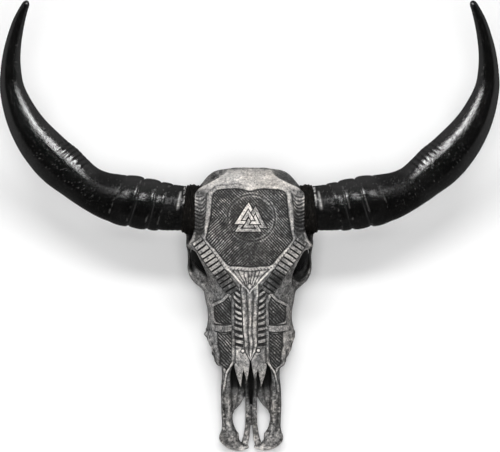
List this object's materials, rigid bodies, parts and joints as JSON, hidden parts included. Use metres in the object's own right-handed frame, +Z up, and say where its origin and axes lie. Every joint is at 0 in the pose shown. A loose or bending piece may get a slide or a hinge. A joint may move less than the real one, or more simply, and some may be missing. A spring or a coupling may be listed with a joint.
{
  "type": "buffalo skull",
  "caption": "Carved water buffalo skull without its lower jaw, with long crescent horns, lying face up on its cheek teeth.",
  "frame": {"origin": "on the floor, under the middle of the skull's bounding box", "axes": "+X from the left horn to the right horn as seen in the picture, +Y from the nose to the poll, +Z up from the floor"},
  "size_m": [0.8966, 0.7604, 0.2895],
  "materials": {
    "bone": "carved grey bone, dark in the cuts, satin",
    "core": "rough dark bone collar",
    "horn": "polished black horn"
  },
  "bodies": {
    "root": {"maxilla": "bone", "cranium": "bone", "occiput": "bone", "nasal_right": "bone", "nasal_left": "bone", "premaxilla_right": "bone", "premaxilla_left": "bone", "zygomatic_right": "bone", "zygomatic_left": "bone", "horn_core_right": "core", "horn_core_left": "core", "horn_right": "horn", "horn_left": "horn"}
  },
  "joints": []
}
